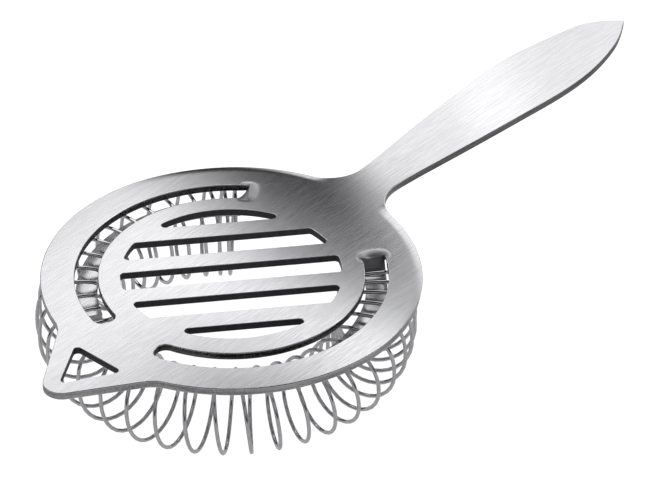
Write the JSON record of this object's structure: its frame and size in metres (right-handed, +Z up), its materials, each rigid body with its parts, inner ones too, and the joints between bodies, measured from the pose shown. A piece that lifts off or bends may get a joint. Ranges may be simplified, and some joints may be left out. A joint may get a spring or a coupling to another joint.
{
  "type": "hawthorne strainer",
  "caption": "Flat cocktail strainer: slotted round plate with a pouring spout and paddle handle, and a long coil spring threaded on two tongues under its rim.",
  "frame": {"origin": "under the middle of the whole strainer, on the surface that the spring's loops stand on", "axes": "+X towards the handle's tip, +Z up, out of the plate's top face, +Y to the left seen from the spout towards the handle"},
  "size_m": [0.2016, 0.0874, 0.025],
  "materials": {
    "brushed_sheet": "brushed along the handle",
    "spring_wire": "bright drawn wire"
  },
  "bodies": {
    "plate": {"strainer_plate": "brushed_sheet"},
    "spring": {"coil_spring": "spring_wire"}
  },
  "joints": [
    {"name": "spring_squeeze", "type": "slide", "parent": "plate", "child": "spring", "axis": [1, 0, 0], "range_m": [0, 0.004], "stiffness_N_per_m": 300, "deforming": ["coil_spring"]}
  ]
}
